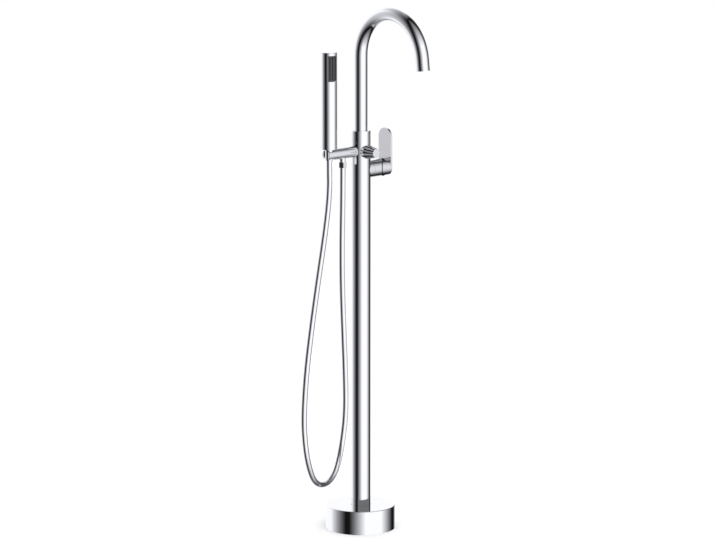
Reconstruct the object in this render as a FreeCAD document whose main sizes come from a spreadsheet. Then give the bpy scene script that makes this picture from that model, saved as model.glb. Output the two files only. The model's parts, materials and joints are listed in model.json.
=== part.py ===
"""Floor standing bath filler: column on a round base, swivel gooseneck spout, side lever
valve, fluted diverter knob, and a stick hand shower that hangs in a forked arm on its hose.

The origin is on the column's axis at the floor. +Z is up, the spout and the knob point to
-Y, the shower arm to -X and the lever to +X. Lengths are in millimetres.
"""
import FreeCAD, Part
import MeshPart
import Sketcher
import math
import os
import re

os.makedirs("parts", exist_ok=True)
doc = FreeCAD.newDocument("BathFiller")

# ---------------------------------------------------------------- driving sizes
SIZES = {
    # column and base
    "column_dia": 44.0,
    "column_wall": 1.5,
    "column_top": 888.7,
    "column_seat": 10.0,
    "base_dia": 153.0,
    "base_rise": 52.3,
    "base_wall": 2.0,
    "base_edge": 1.5,
    "flange_gap": 4.5,
    "flange_thick": 8.0,
    "socket_wall": 11.0,
    "socket_top": 38.0,
    "bolt_inset": 14.0,
    "bolt_hole": 9.0,
    "bolt_count": 4,
    "seal_width": 3.5,
    "clamp_screw_dia": 6.0,
    "clamp_screw_level": 26.0,
    "clamp_screw_count": 3,
    # water supplies inside the column
    "supply_dia": 12.0,
    "supply_wall": 1.0,
    "supply_collar_rise": 2.0,
    "collar_gap": 0.1,
    "inlet_nut_gap": 0.5,
    "inlet_nut_foot": 2.0,
    "inlet_nut_rise": 16.0,
    "inlet_thread_dia": 15.0,
    "inlet_thread_deep": 10.0,
    "inlet_washer_room": 1.5,
    "inlet_seat_step": 0.7,
    # mixer body
    "mixer_long": 110.0,
    "cap_thick": 6.7,
    "waterway_dia": 8.0,
    # clearance between pieces that move past each other
    "run_gap": 0.3,
    # spout
    "spout_dia": 30.0,
    "spout_wall": 1.5,
    "spout_rise": 163.5,
    "arch_radius": 99.2,
    "spout_sweep": 173.0,
    "spout_tail": 25.0,
    "spigot_gap": 0.8,
    "spigot_long": 16.5,
    "spigot_sleeve": 15.0,
    "spigot_bore": 18.0,
    "ring_thick": 2.6,
    "ring_inset": 3.0,
    "ring_step": 5.0,
    "ring_count": 2,
    "lock_drop": 3.0,
    "lock_width": 4.6,
    "lock_screw_dia": 4.0,
    "aerator_long": 11.0,
    "aerator_recess": 1.2,
    "aerator_lip": 1.6,
    "mesh_recess": 2.0,
    "cell_dia": 4.0,
    "cell_deep": 3.0,
    "cell_pitch": 7.2,
    "cell_count": 8,
    # shower arm
    "arm_drop": 45.0,
    "arm_dia": 25.0,
    "arm_reach": 100.0,
    "arm_spigot_dia": 18.0,
    "arm_spigot_end": 12.0,
    "arm_edge": 0.8,
    "hook_end": 9.0,
    "hook_wall": 2.0,
    "slot_gap": 1.5,
    "liner_rise": 13.0,
    "liner_wall": 1.0,
    "cone_taper": 0.5,
    "cone_below": 5.2,
    "outlet_reach": 52.5,
    "outlet_dia": 14.6,
    "outlet_bore": 9.0,
    "outlet_neck": 6.2,
    "outlet_nut_dia": 19.5,
    "outlet_nut_rise": 13.0,
    "nipple_overlap": 6.5,
    "washer_thick": 1.5,
    "valve_insert_long": 8.0,
    "valve_insert_bore": 4.5,
    # hand shower
    "handset_dia": 36.0,
    "handset_wall": 1.8,
    "handset_long": 211.5,
    "handset_floor": 4.0,
    "handset_edge": 0.8,
    "inlet_dia": 13.6,
    "inlet_reach": 10.0,
    "inlet_flange_dia": 24.0,
    "spray_wide": 23.0,
    "spray_high": 56.5,
    "spray_drop": 6.6,
    "spray_thick": 2.5,
    "spray_yaw": 8.0,
    "chamber_deep": 12.0,
    "chamber_wall": 2.0,
    "nozzle_dia": 1.9,
    "nozzle_out": 1.1,
    "nozzle_pitch": 4.6,
    "nozzle_columns": 4,
    "nozzle_rows": 11,
    "hose_dia": 13.5,
    # diverter
    "diverter_dia": 16.0,
    "diverter_deep": 10.0,
    "diverter_out": 5.5,
    "collar_out": 2.5,
    "knob_root_dia": 31.0,
    "knob_tip_dia": 20.0,
    "knob_long": 26.9,
    "knob_edge": 0.8,
    "knob_cup_gap": 1.0,
    "knob_cup_deep": 9.2,
    "knob_face": 7.7,
    "flute_dia": 5.0,
    "flute_sink": 0.9,
    "flute_count": 12,
    "knob_stem_dia": 6.0,
    "knob_screw_dia": 3.0,
    "knob_screw_long": 6.0,
    "knob_screw_back": 4.0,
    # valve
    "valve_drop": 42.7,
    "valve_dia": 40.0,
    "neck_out": 3.0,
    "neck_step": 3.2,
    "neck_spigot_long": 13.0,
    "cartridge_dia": 24.0,
    "cartridge_deep": 6.0,
    "pivot_step": 27.8,
    "shoulder_back": 6.8,
    "nose_front": 0.8,
    "nose_dia": 10.0,
    "gland_wall": 1.5,
    "gland_flange": 2.4,
    "sleeve_rib": 2.0,
    "seam_over": 0.5,
    "lever_plate": 5.0,
    "lever_rise": 86.0,
    "lever_wall": 3.0,
    "lever_edge": 0.8,
    "lever_slot_gap": 1.5,
    "stem_ball_dia": 7.6,
    "stem_dia": 5.0,
    "stem_neck": 0.4,
    "stem_cover": 1.5,
    "lever_screw_dia": 2.5,
    "lever_screw_long": 8.0,
}

# Hose route from the outlet nut to the handset's cone, chosen along the photographed loop.
HOSE_ROUTE = [
    (-52.5, 0.0, 812.0),
    (-52.5, 0.0, 752.0),
    (-55.0, 0.0, 650.0),
    (-54.5, 0.0, 550.0),
    (-50.0, 0.0, 450.0),
    (-43.5, 2.0, 350.0),
    (-39.5, 5.0, 268.0),
    (-45.0, 8.0, 207.0),
    (-58.0, 6.5, 160.0),
    (-75.0, 1.0, 133.0),
    (-99.5, -7.0, 118.5),
    (-129.0, -16.5, 118.0),
    (-156.0, -25.0, 132.0),
    (-175.5, -32.0, 160.0),
    (-192.5, -38.0, 207.0),
    (-202.0, -41.5, 278.0),
    (-196.0, -43.5, 380.0),
    (-177.0, -40.5, 482.0),
    (-152.0, -33.0, 580.0),
    (-123.5, -22.0, 672.0),
    (-104.0, -12.0, 737.0),
    (-92.5, -2.5, 780.0),
    (-91.0, 0.0, 802.0),
    (-91.0, 0.0, 832.0),
]
ARC_SHARE = 0.45

# A hexagon's own corners lie on X. Half a side's turn puts its flats there instead.
HEX_SIDES = 6
FLATS_ACROSS = FreeCAD.Rotation(FreeCAD.Vector(0, 0, 1), 180 / HEX_SIDES)

sheet = doc.addObject("Spreadsheet::Sheet", "Sizes")
for row, (name, size) in enumerate(SIZES.items(), start=1):
    cell = "B%d" % row
    sheet.set("A%d" % row, name)
    sheet.set(cell, str(size))
    sheet.setAlias(cell, name)
doc.recompute()
SIZE = {name: float(sheet.get(name)) for name in SIZES}

# Derived lengths, written once as expressions of the driving sizes.
COLUMN_OUT = "(column_dia / 2)"
COLUMN_IN = "(column_dia / 2 - column_wall)"
FAR = "column_dia"
ABOVE = "column_top"
COVER_IN = "(base_dia / 2 - base_wall)"
COVER_DECK = "(base_rise - base_wall)"
COVER_BORE = "(column_dia / 2 + run_gap)"
FLANGE_OUT = "(%s - flange_gap)" % COVER_IN
BOLT_RADIUS = "(%s - bolt_inset)" % FLANGE_OUT
SOCKET_OUT = "(column_dia / 2 + socket_wall)"
NUT_FLATS = "(%s - 3 * inlet_nut_gap)" % COLUMN_IN
SUPPLY_OFFSET = "(%s / 2 + inlet_nut_gap)" % NUT_FLATS
THREAD_TOP = "(inlet_nut_foot + inlet_thread_deep)"
INLET_SEAT = "(inlet_thread_dia / 2 - inlet_seat_step)"
SUPPLY_COLLAR_FOOT = "(%s + inlet_washer_room)" % THREAD_TOP
SUPPLY_COLLAR_TOP = "(%s + supply_collar_rise)" % SUPPLY_COLLAR_FOOT
MIXER_TOP = "(column_top - cap_thick)"
MIXER_BOTTOM = "(%s - mixer_long)" % MIXER_TOP
ARM_LEVEL = "(column_top - arm_drop)"
ARM_UNDERSIDE = "(%s - arm_dia / 2)" % ARM_LEVEL
VALVE_LEVEL = "(%s - valve_drop)" % ARM_LEVEL
SPOUT_OUT = "(spout_dia / 2)"
SPOUT_IN = "(spout_dia / 2 - spout_wall)"
SPIGOT_BOTTOM = "(%s + arm_spigot_dia / 2 + spigot_gap)" % ARM_LEVEL
SPOUT_FOOT = "(%s + spigot_long)" % SPIGOT_BOTTOM
SPOUT_SPRING = "(column_top + spout_rise)"
LOCK_LEVEL = "(%s - lock_drop)" % SPOUT_FOOT
HOOK_REACH = "(arm_reach - hook_end)"
HOOK_BORE = "(arm_dia / 2 - hook_wall)"
HOOK_SLOT = "(hose_dia + slot_gap)"
LINER_FOOT = "(%s - liner_rise / 2)" % ARM_LEVEL
LINER_TOP = "(%s + liner_rise / 2)" % ARM_LEVEL
LINER_IN = "(%s - liner_wall)" % HOOK_BORE
CONE_FOOT = "(%s - cone_below)" % LINER_FOOT
CONE_TOP = "(%s + arm_dia / 2)" % ARM_LEVEL
CONE_WASHER_FOOT = "(%s - inlet_reach)" % CONE_TOP
OUTLET_NUT_TOP = "(%s - outlet_neck)" % ARM_UNDERSIDE
OUTLET_NUT_FOOT = "(%s - outlet_nut_rise)" % OUTLET_NUT_TOP
NIPPLE_FOOT = "(%s - nipple_overlap)" % OUTLET_NUT_TOP
HANDSET_FOOT = "(%s + run_gap)" % CONE_TOP
HANDSET_TOP = "(%s + handset_long)" % HANDSET_FOOT
HANDSET_IN = "(handset_dia / 2 - handset_wall)"
HANDSET_DECK = "(%s + handset_floor)" % HANDSET_FOOT
INLET_FOOT = "(%s + washer_thick + run_gap)" % CONE_WASHER_FOOT
SPRAY_TOP = "(%s - spray_drop)" % HANDSET_TOP
SPRAY_FOOT = "(%s - spray_high)" % SPRAY_TOP
SPRAY_FACE = "sqrt((handset_dia / 2)^2 - (spray_wide / 2)^2)"
PLATE_BACK = "(%s - spray_thick)" % SPRAY_FACE
CHAMBER_HALF = "(sqrt(%s^2 - %s^2) - run_gap)" % (HANDSET_IN, PLATE_BACK)
COLLAR_END = "(column_dia / 2 + collar_out)"
DIVERTER_END = "(%s + diverter_out)" % COLLAR_END
KNOB_FOOT = "(%s + run_gap)" % COLLAR_END
KNOB_END = "(%s + knob_long)" % KNOB_FOOT
KNOB_CUP = "(diverter_dia / 2 + knob_cup_gap)"
KNOB_CUP_END = "(%s + knob_cup_deep)" % KNOB_FOOT
KNOB_STEM_FOOT = "(%s + run_gap)" % DIVERTER_END
KNOB_STEM_END = "(%s - knob_face)" % KNOB_END
KNOB_SCREW_REACH = "(%s - knob_screw_back)" % KNOB_STEM_END
VALVE_OUT = "(valve_dia / 2)"
CARTRIDGE_OUT = "(cartridge_dia / 2)"
NECK_END = "(column_dia / 2 + neck_out)"
NECK_SPIGOT = "(valve_dia / 2 - neck_step)"
NECK_SPIGOT_END = "(%s + neck_spigot_long)" % NECK_END
SLEEVE_BORE = "(%s + run_gap)" % NECK_SPIGOT
RIB_FOOT = "(%s + run_gap)" % NECK_SPIGOT_END
RIB_TOP = "(%s + sleeve_rib)" % RIB_FOOT
GLAND_OUT = "(%s + 2 * run_gap + gland_wall)" % CARTRIDGE_OUT
GLAND_FOOT = "(%s + run_gap)" % RIB_TOP
GLAND_TOP = "(%s + gland_flange)" % GLAND_FOOT
PIVOT = "(%s + pivot_step)" % NECK_SPIGOT_END
SHOULDER = "(%s - shoulder_back)" % PIVOT
NOSE = "(%s + nose_front)" % PIVOT
SEAM = "(valve_dia / 2 + seam_over)"
LEVER_INNER = "(%s + stem_ball_dia / 2 + stem_neck)" % PIVOT
LEVER_END = "(%s + lever_plate)" % LEVER_INNER
STEM_END = "(%s - stem_cover)" % LEVER_END
PADDLE_RISE = "(lever_rise - valve_dia / 2)"

NODES = {}


def bound(text):
    """The expression with each size name turned into its cell of the sheet."""
    def cell_of(word):
        return "Sizes." + word.group(0) if word.group(0) in SIZES else word.group(0)
    return re.sub(r"[A-Za-z_]+", cell_of, text)


def worth(text):
    """The number that an expression of the driving sizes comes to."""
    return float(sheet.evalExpression(bound(text)))


def bind(thing, **properties):
    """Ties properties of an object to expressions of the driving sizes."""
    for name, text in properties.items():
        thing.setExpression(name, bound(text))


TURNS = {
    "+Z": FreeCAD.Rotation(),
    "-X": FreeCAD.Rotation(FreeCAD.Vector(0, 1, 0), -90),
    "+X": FreeCAD.Rotation(FreeCAD.Vector(0, 1, 0), 90),
    "-Y": FreeCAD.Rotation(FreeCAD.Vector(1, 0, 0), 90),
    "+Y": FreeCAD.Rotation(FreeCAD.Vector(1, 0, 0), -90),
}


def place(thing, along="+Z", at=("0", "0", "0")):
    """Points an object's own +Z along an axis and ties its position to the sizes."""
    thing.Placement = FreeCAD.Placement(FreeCAD.Vector(), TURNS[along])
    for letter, text in zip("xyz", at):
        thing.setExpression("Placement.Base." + letter, bound(text))
    return thing


def swung(x, y, turn):
    """A plan position in expressions, swung about +Z by a turn in degrees."""
    across = "(%s) * cos(%s * 1 deg) - (%s) * sin(%s * 1 deg)" % (x, turn, y, turn)
    along = "(%s) * sin(%s * 1 deg) + (%s) * cos(%s * 1 deg)" % (x, turn, y, turn)
    return across, along


def node(label, thing):
    """Registers a finished sub-part under the name of its file."""
    thing.Label = label
    NODES[label] = thing
    return thing


def flat_sketch(body, role, name):
    """A sketch that lies on one of the body's own origin planes."""
    sketch = body.newObject("Sketcher::SketchObject", name)
    plane = next(plane for plane in body.Origin.OriginFeatures if plane.Role == role)
    sketch.AttachmentSupport = (plane, [""])
    sketch.MapMode = "FlatFace"
    return sketch


def tie(sketch, kind, where, text):
    """Adds a driving dimension to a sketch and ties it to an expression."""
    index = sketch.addConstraint(Sketcher.Constraint(kind, *where))
    sketch.setExpression("Constraints[%d]" % index, bound(text))


def fix_point(sketch, line, point, across, along):
    """Ties a sketch point to two expressions, measured from the origin."""
    for kind, text, axis in (("DistanceX", across, -2), ("DistanceY", along, -1)):
        if text == "0":
            sketch.addConstraint(Sketcher.Constraint("PointOnObject", line, point, axis))
        else:
            tie(sketch, kind, (-1, 1, line, point, 1.0), text)


def draw_outline(sketch, outline):
    """A closed outline of straight lines, each corner tied to its own two expressions."""
    spots = [FreeCAD.Vector(worth(across), worth(along), 0) for across, along in outline]
    corners = len(outline)
    for corner in range(corners):
        sketch.addGeometry(Part.LineSegment(spots[corner], spots[(corner + 1) % corners]), False)
    for corner in range(corners):
        sketch.addConstraint(Sketcher.Constraint("Coincident", corner, 2, (corner + 1) % corners, 1))
    for corner, (across, along) in enumerate(outline):
        fix_point(sketch, corner, 1, across, along)


def turned(label, outline, along="+Z", at=("0", "0", "0")):
    """A body turned about its own Z axis from an outline of (radius, level) corners."""
    body = doc.addObject("PartDesign::Body", label)
    sketch = flat_sketch(body, "XZ_Plane", label + "_outline")
    draw_outline(sketch, outline)
    turn = body.newObject("PartDesign::Revolution", label + "_turn")
    turn.Profile = sketch
    turn.ReferenceAxis = (sketch, ["V_Axis"])
    turn.Angle = 360
    return place(body, along, at)


def drilled_ring(body, name, ring, hole, deep, count):
    """Holes drilled up from the foot of a turned body, evenly round its axis."""
    doc.recompute()
    before = body.Shape.Volume
    sketch = flat_sketch(body, "XY_Plane", name + "_sketch")
    spot = FreeCAD.Vector(worth(ring), 0, 0)
    sketch.addGeometry(Part.Circle(spot, FreeCAD.Vector(0, 0, 1), worth(hole) / 2), False)
    sketch.addConstraint(Sketcher.Constraint("PointOnObject", 0, 3, -1))
    tie(sketch, "DistanceX", (-1, 1, 0, 3, worth(ring)), ring)
    tie(sketch, "Diameter", (0, worth(hole)), hole)
    pocket = body.newObject("PartDesign::Pocket", name + "_pocket")
    pocket.Profile = sketch
    pocket.Type = 0
    pocket.Reversed = True
    bind(pocket, Length=deep)
    doc.recompute()
    pattern = body.newObject("PartDesign::PolarPattern", name + "_pattern")
    pattern.Originals = [pocket]
    pattern.Axis = (sketch, ["N_Axis"])
    pattern.Angle = 360
    bind(pattern, Occurrences=count)
    body.Tip = pattern
    doc.recompute()
    if body.Shape.Volume >= before:
        raise ValueError("the holes cut nothing: " + name)
    return body


def rod(name, radius, length, along="+Z", at=("0", "0", "0")):
    """A plain cylinder, solid or as a cutter."""
    cylinder = doc.addObject("Part::Cylinder", name)
    bind(cylinder, Radius=radius, Height=length)
    return place(cylinder, along, at)


def block(name, size, at):
    """A plain box, solid or as a cutter, placed by its lowest corner."""
    box = doc.addObject("Part::Box", name)
    bind(box, Length=size[0], Width=size[1], Height=size[2])
    return place(box, "+Z", at)


def joined(name, things):
    """Several solids fused into one."""
    fuse = doc.addObject("Part::MultiFuse", name)
    fuse.Shapes = things
    return fuse


def together(name, things):
    """Several separate solids kept as one sub-part."""
    group = doc.addObject("Part::Compound", name)
    group.Links = things
    return group


def cut(name, base, tools):
    """A base with each tool taken away in turn."""
    result = base
    for tool in tools:
        step = doc.addObject("Part::Cut", name)
        step.Base = result
        step.Tool = tool
        result = step
    return result


def shared(name, first, second):
    """What two solids have in common."""
    result = doc.addObject("Part::Common", name)
    result.Base = first
    result.Tool = second
    return result


def rounded(body, name, radius, keep):
    """A fillet on the edges of a body's tip that pass the test."""
    doc.recompute()
    tip = body.Tip
    edges = ["Edge%d" % (i + 1) for i, edge in enumerate(tip.Shape.Edges) if keep(edge)]
    if not edges:
        raise ValueError("no edge to round for " + name)
    fillet = body.newObject("PartDesign::Fillet", name)
    fillet.Base = (tip, edges)
    bind(fillet, Radius=radius)
    body.Tip = fillet
    return body


CLOSE = 0.01


def ring_edge(radius, level):
    """A test for the full circle of a given radius at a given level of a turned body."""
    def passes(edge):
        if not isinstance(edge.Curve, Part.Circle):
            return False
        same_radius = abs(edge.Curve.Radius - worth(radius)) < CLOSE
        return same_radius and abs(edge.Curve.Center.z - worth(level)) < CLOSE
    return passes


# ---------------------------------------------------------------- base
def floor_flange():
    """Plate that is bolted to the floor, with the socket that clamps the column."""
    body = turned("flange_blank", [
        (COLUMN_IN, "0"),
        (FLANGE_OUT, "0"),
        (FLANGE_OUT, "flange_thick"),
        (SOCKET_OUT, "flange_thick"),
        (SOCKET_OUT, "socket_top"),
        (COLUMN_OUT, "socket_top"),
        (COLUMN_OUT, "column_seat"),
        (COLUMN_IN, "column_seat"),
    ])
    drilled_ring(body, "bolt", BOLT_RADIUS, "bolt_hole", "flange_thick", "bolt_count")
    screws = clamp_screws()
    node("floor_flange", cut("flange_tapped", body, screws))
    node("column_clamp_screws", together("clamp_screws", screws))


def clamp_screws():
    """Set screws through the socket's wall, evenly round the column."""
    screws = []
    count = int(SIZE["clamp_screw_count"])
    for index in range(count):
        turn = 90 + 360 * index // count
        across, along = swung(COLUMN_OUT, "0", turn)
        screw = rod("clamp_screw", "clamp_screw_dia / 2", "socket_wall", "+X",
                    (across, along, "clamp_screw_level"))
        swing = FreeCAD.Rotation(FreeCAD.Vector(0, 0, 1), turn)
        screw.Placement.Rotation = swing.multiply(TURNS["+X"])
        screws.append(screw)
    return screws


def base_cover():
    """Spun drum that slides down the column over the flange."""
    body = turned("base_cover", [
        (COVER_IN, "0"),
        ("base_dia / 2", "0"),
        ("base_dia / 2", "base_rise"),
        (COVER_BORE, "base_rise"),
        (COVER_BORE, COVER_DECK),
        (COVER_IN, COVER_DECK),
    ])
    outer = ring_edge("base_dia / 2", "base_rise")
    node("base_cover", rounded(body, "base_cover_edge", "base_edge", outer))
    node("base_cover_seal", turned("base_cover_seal", [
        (COLUMN_OUT, COVER_DECK + " - seal_width"),
        (COLUMN_OUT + " + seal_width", COVER_DECK + " - seal_width"),
        (COLUMN_OUT + " + seal_width", COVER_DECK),
        (COLUMN_OUT, COVER_DECK),
    ]))


# ---------------------------------------------------------------- column
def column():
    """Column tube with its ports, and the ring that closes its top round the spout."""
    tube = turned("column_blank", [
        (COLUMN_IN, "column_seat"),
        (COLUMN_OUT, "column_seat"),
        (COLUMN_OUT, "column_top"),
        (COLUMN_IN, "column_top"),
    ])
    ports = [
        rod("valve_port", CARTRIDGE_OUT, FAR, "+X", ("0", "0", VALVE_LEVEL)),
        rod("diverter_port", "diverter_dia / 2", FAR, "-Y", ("0", "0", ARM_LEVEL)),
        rod("arm_port", "arm_spigot_dia / 2", FAR, "-X", ("0", "0", ARM_LEVEL)),
        rod("lock_port", "lock_screw_dia / 2", FAR, "+Y", ("0", "0", LOCK_LEVEL)),
    ]
    node("column_tube", cut("column_ported", tube, ports))
    node("column_cap", turned("column_cap", [
        (SPOUT_OUT + " + run_gap", MIXER_TOP),
        (COLUMN_IN, MIXER_TOP),
        (COLUMN_IN, "column_top"),
        (SPOUT_OUT + " + run_gap", "column_top"),
    ]))


def mixer_body():
    """Brass body in the head of the column, bored for everything that plugs into it."""
    blank = rod("mixer_blank", COLUMN_IN, "mixer_long", "+Z", ("0", "0", MIXER_BOTTOM))
    sockets = [
        rod("hot_socket", "supply_dia / 2", "supply_dia", "+Z",
            ("-" + SUPPLY_OFFSET, "0", MIXER_BOTTOM)),
        rod("cold_socket", "supply_dia / 2", "supply_dia", "+Z",
            (SUPPLY_OFFSET, "0", MIXER_BOTTOM)),
        rod("cartridge_socket", CARTRIDGE_OUT, FAR, "+X", ("-cartridge_deep", "0", VALVE_LEVEL)),
        rod("rising_waterway", "waterway_dia / 2", SPIGOT_BOTTOM + " - " + VALVE_LEVEL, "+Z",
            ("0", "0", VALVE_LEVEL)),
        rod("diverter_socket", "diverter_dia / 2", FAR, "-Y", ("0", "diverter_deep", ARM_LEVEL)),
        rod("arm_socket", "arm_spigot_dia / 2", FAR, "-X", ("-arm_spigot_end", "0", ARM_LEVEL)),
        rod("arm_waterway", "outlet_bore / 2", "arm_spigot_end", "-X", ("0", "0", ARM_LEVEL)),
        rod("spout_socket", SPOUT_OUT + " + run_gap", "mixer_long", "+Z",
            ("0", "0", SPIGOT_BOTTOM + " - run_gap")),
        rod("lock_hole", "lock_screw_dia / 2", FAR, "+Y", ("0", "0", LOCK_LEVEL)),
    ]
    node("mixer_body", cut("mixer_bored", blank, sockets))


def supplies():
    """Hot and cold pipes inside the column, each with its union nut at the floor."""
    for name, offset in (("hot", "-" + SUPPLY_OFFSET), ("cold", SUPPLY_OFFSET)):
        foot = (offset, "0", "inlet_nut_foot")
        node(name + "_supply_pipe", turned(name + "_supply_pipe", [
            ("supply_dia / 2 - supply_wall", SUPPLY_COLLAR_FOOT),
            (INLET_SEAT + " - collar_gap", SUPPLY_COLLAR_FOOT),
            (INLET_SEAT + " - collar_gap", SUPPLY_COLLAR_TOP),
            ("supply_dia / 2", SUPPLY_COLLAR_TOP),
            ("supply_dia / 2", MIXER_BOTTOM + " + supply_dia"),
            ("supply_dia / 2 - supply_wall", MIXER_BOTTOM + " + supply_dia"),
        ], "+Z", (offset, "0", "0")))
        hexagon = doc.addObject("Part::Prism", name + "_nut_blank")
        hexagon.Polygon = HEX_SIDES
        bind(hexagon, Circumradius=NUT_FLATS + " / sqrt(3)", Height="inlet_nut_rise")
        place(hexagon, "+Z", foot)
        hexagon.Placement.Rotation = FLATS_ACROSS
        tools = [
            rod(name + "_thread", "inlet_thread_dia / 2", "inlet_thread_deep", "+Z", foot),
            rod(name + "_seat", INLET_SEAT, SUPPLY_COLLAR_TOP + " - inlet_nut_foot", "+Z", foot),
            rod(name + "_throat", "supply_dia / 2", "inlet_nut_rise", "+Z", foot),
        ]
        node(name + "_inlet_nut", cut(name + "_nut_bored", hexagon, tools))


# ---------------------------------------------------------------- spout
def spout():
    """Gooseneck tube: a riser, an arch turned through the sweep and a short tail."""
    body = doc.addObject("PartDesign::Body", "spout_tube")
    end = "(spout_sweep * 1 deg)"
    lift = SPOUT_SPRING + " - " + SPOUT_FOOT
    stations = [
        ("riser", "0", "0", "0"),
        ("arch", "0", lift, "0"),
        ("tail", "-arch_radius * (1 - cos(%s))" % end,
         lift + " + arch_radius * sin(%s)" % end, "spout_sweep"),
    ]
    rings = {}
    for name, forward, level, lean in stations:
        ring = flat_sketch(body, "XY_Plane", name + "_ring")
        for index, text in enumerate((SPOUT_OUT, SPOUT_IN)):
            circle = Part.Circle(FreeCAD.Vector(), FreeCAD.Vector(0, 0, 1), worth(text))
            ring.addGeometry(circle, False)
            ring.addConstraint(Sketcher.Constraint("Coincident", index, 3, -1, 1))
            tie(ring, "Radius", (index, worth(text)), text)
        tilt = FreeCAD.Rotation(FreeCAD.Vector(1, 0, 0), worth(lean))
        ring.AttachmentOffset = FreeCAD.Placement(FreeCAD.Vector(), tilt)
        ring.setExpression("AttachmentOffset.Base.y", bound(forward))
        ring.setExpression("AttachmentOffset.Base.z", bound(level))
        rings[name] = ring
    hub = rings["arch"].addGeometry(Part.LineSegment(
        FreeCAD.Vector(-1, -worth("arch_radius"), 0), FreeCAD.Vector(1, -worth("arch_radius"), 0)), True)
    rings["arch"].addConstraint(Sketcher.Constraint("Horizontal", hub))
    tie(rings["arch"], "DistanceX", (-1, 1, hub, 2, 1.0), "spout_wall")
    tie(rings["arch"], "DistanceX", (hub, 1, -1, 1, 1.0), "spout_wall")
    tie(rings["arch"], "DistanceY", (hub, 1, -1, 1, worth("arch_radius")), "arch_radius")
    riser = body.newObject("PartDesign::Pad", "riser")
    riser.Profile = rings["riser"]
    bind(riser, Length=lift)
    arch = body.newObject("PartDesign::Revolution", "arch")
    arch.Profile = rings["arch"]
    arch.ReferenceAxis = (rings["arch"], ["Axis0"])
    arch.setExpression("Angle", bound("spout_sweep"))
    tail = body.newObject("PartDesign::Pad", "tail")
    tail.Profile = rings["tail"]
    bind(tail, Length="spout_tail")
    node("spout_tube", place(body, "+Z", ("0", "0", SPOUT_FOOT)))


def spout_spigot():
    """Brass spigot that turns in the head, with its seals and the screw that locks it in."""
    outline = [("spigot_bore / 2", SPIGOT_BOTTOM), (SPOUT_OUT, SPIGOT_BOTTOM)]
    seals = []
    groove = SPOUT_OUT + " - ring_thick + run_gap"
    for index in range(int(SIZE["ring_count"])):
        middle = "%s + ring_inset + %d * ring_step" % (SPIGOT_BOTTOM, index)
        low = middle + " - ring_thick / 2"
        high = middle + " + ring_thick / 2"
        outline += [(SPOUT_OUT, low), (groove, low), (groove, high), (SPOUT_OUT, high)]
        seals.append(turned("spout_seal_%d" % (index + 1), [
            (groove, low + " + run_gap"),
            (SPOUT_OUT + " + run_gap", low + " + run_gap"),
            (SPOUT_OUT + " + run_gap", high + " - run_gap"),
            (groove, high + " - run_gap"),
        ]))
    outline += [
        (SPOUT_OUT, LOCK_LEVEL + " - lock_width / 2"),
        (SPOUT_IN, LOCK_LEVEL + " - lock_width / 2"),
        (SPOUT_IN, SPOUT_FOOT + " + spigot_sleeve"),
        ("spigot_bore / 2", SPOUT_FOOT + " + spigot_sleeve"),
    ]
    node("spout_spigot", turned("spout_spigot", outline))
    node("spout_o_rings", together("spout_seals", seals))
    node("spout_lock_screw", rod("spout_lock_screw", "lock_screw_dia / 2",
                                 COLUMN_OUT + " - " + SPOUT_IN + " - run_gap", "+Y",
                                 ("0", SPOUT_IN + " + run_gap", LOCK_LEVEL)))


def aerator():
    """Housing and cell insert in the mouth of the spout, square to its tail."""
    end = "(spout_sweep * 1 deg)"
    tail = "(spout_tail - aerator_recess)"
    at = (
        "0",
        "-arch_radius * (1 - cos(%s)) - %s * sin(%s)" % (end, tail, end),
        SPOUT_SPRING + " + arch_radius * sin(%s) + %s * cos(%s)" % (end, tail, end),
    )
    mouth = SPOUT_IN + " - aerator_lip"
    housing = turned("aerator_housing", [
        (mouth, "0"), (SPOUT_IN, "0"), (SPOUT_IN, "aerator_long"), (mouth, "aerator_long"),
    ])
    insert = turned("aerator_insert", [
        ("0", "0"), (mouth, "0"), (mouth, "aerator_long - mesh_recess"), ("0", "aerator_long - mesh_recess"),
    ])
    drilled_ring(insert, "cells", "cell_pitch", "cell_dia", "cell_deep", "cell_count")
    lean = FreeCAD.Rotation(FreeCAD.Vector(1, 0, 0), SIZE["spout_sweep"] - 180)
    pieces = (("aerator_housing", housing, "0"), ("aerator_insert", insert, "mesh_recess"))
    for label, piece, recess in pieces:
        place(piece, "+Z", (
            at[0],
            at[1] + " + %s * sin(%s)" % (recess, end),
            at[2] + " - %s * cos(%s)" % (recess, end),
        ))
        piece.Placement.Rotation = lean
        node(label, piece)


# ---------------------------------------------------------------- shower arm
def hook_gap(name):
    """Cutter for the slot that the hose passes through, in front of the hook."""
    return block(name, ("arm_dia", HOOK_SLOT, "arm_dia"),
                 ("-%s - arm_dia" % HOOK_REACH, "-%s / 2" % HOOK_SLOT, ARM_UNDERSIDE))


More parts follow.
